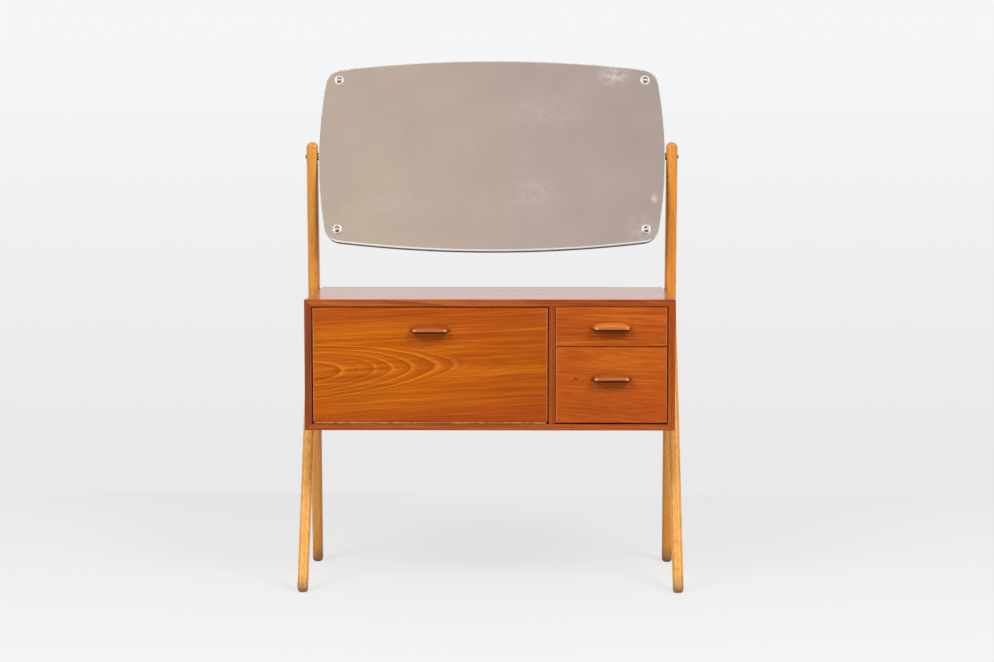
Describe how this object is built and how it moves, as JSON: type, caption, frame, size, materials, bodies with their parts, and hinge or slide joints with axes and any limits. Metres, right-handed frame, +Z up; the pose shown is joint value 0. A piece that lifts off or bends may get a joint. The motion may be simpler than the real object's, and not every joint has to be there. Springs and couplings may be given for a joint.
{
  "type": "dressing table",
  "caption": "Dressing table: a wide case with a drop-front flap and drawers, held between side frames whose long legs carry a tilting mirror",
  "frame": {"origin": "on the floor, in the middle of the piece's bounding box", "axes": "+X to the right as seen from the front, +Y to the back, +Z up"},
  "size_m": [0.8836, 0.4654, 1.2113],
  "materials": {
    "teak_case": "oiled satin",
    "teak_front": "oiled satin",
    "teak_handle": "oiled satin",
    "beech": "satin lacquer",
    "drawer_wood": "matt",
    "plywood": "matt",
    "dark_board": "stained",
    "mirror": "silvered",
    "brass": "satin",
    "steel": "satin",
    "chrome": "polished",
    "plastic_white": "matt",
    "plastic_brown": "matt"
  },
  "bodies": {
    "cabinet": {"top_panel": "teak_case", "bottom_panel": "teak_case", "left_side_panel": "teak_case", "right_side_panel": "teak_case", "divider_panel": "teak_case", "back_panel": "plywood", "corner_splines": "plywood", "divider_dowels": "drawer_wood", "back_panel_screws": "steel", "left_long_leg": "beech", "right_long_leg": "beech", "left_front_leg": "beech", "right_front_leg": "beech", "leg_dowels": "drawer_wood", "leg_screws": "steel", "leg_washers": "brass", "pivot_bushes": "brass", "upper_runners": "beech", "lower_runners": "beech", "runner_screws": "steel", "hinge_case_leaf": "brass", "hinge_pin": "brass", "hinge_case_screws": "brass", "catch_housing": "plastic_brown", "catch_magnet": "steel", "stay_case_plate": "brass", "case_fitting_screws": "steel"},
    "flap": {"flap_panel": "teak_front", "hinge_flap_leaf": "brass", "hinge_flap_screws": "brass", "catch_plate": "steel", "stay_flap_bracket": "brass", "flap_fitting_screws": "steel", "stay_rivet": "brass", "flap_handle": "teak_handle", "flap_handle_screws": "brass"},
    "stay_guide_block": {"stay_guide": "brass"},
    "stay_bar": {"stay_arm": "brass", "stay_stop": "brass"},
    "upper_drawer": {"upper_drawer_front": "teak_front", "upper_drawer_left_side": "drawer_wood", "upper_drawer_right_side": "drawer_wood", "upper_drawer_back": "drawer_wood", "upper_drawer_bottom": "plywood", "upper_drawer_handle": "teak_handle", "upper_handle_screws": "brass"},
    "lower_drawer": {"lower_drawer_front": "teak_front", "lower_drawer_left_side": "drawer_wood", "lower_drawer_right_side": "drawer_wood", "lower_drawer_back": "drawer_wood", "lower_drawer_bottom": "plywood", "lower_drawer_handle": "teak_handle", "lower_handle_screws": "brass"},
    "mirror": {"mirror_glass": "mirror", "mirror_board": "dark_board", "mirror_sleeves": "plastic_white", "mirror_cup_washers": "chrome", "mirror_screws": "chrome", "pivot_screws": "brass", "pivot_inserts": "brass"}
  },
  "joints": [
    {"name": "flap_drop", "type": "hinge", "parent": "cabinet", "child": "flap", "pos_m": [-0.132, -0.20743, 0.3965], "axis": [1, 0, 0], "range_deg": [0, 90]},
    {"name": "stay_bar_turn", "type": "hinge", "parent": "flap", "child": "stay_bar", "pos_m": [-0.3877, -0.18343, 0.5465], "axis": [1, 0, 0], "range_deg": [-45, 0]},
    {"name": "stay_guide_turn", "type": "hinge", "parent": "cabinet", "child": "stay_guide_block", "pos_m": [-0.3877, -0.10002, 0.50392], "axis": [1, 0, 0], "range_deg": [0, 45]},
    {"name": "upper_drawer_slide", "type": "slide", "parent": "cabinet", "child": "upper_drawer", "axis": [0, -1, 0], "range_m": [0, 0.28]},
    {"name": "lower_drawer_slide", "type": "slide", "parent": "cabinet", "child": "lower_drawer", "axis": [0, -1, 0], "range_m": [0, 0.28]},
    {"name": "mirror_tilt", "type": "hinge", "parent": "cabinet", "child": "mirror", "pos_m": [0, 0.15527, 0.984], "axis": [1, 0, 0], "continuous": true}
  ],
  "couplings": [
    {"joint": "stay_bar_turn", "follows": "flap_drop", "ratio": -0.5},
    {"joint": "stay_guide_turn", "follows": "flap_drop", "ratio": 0.5}
  ]
}
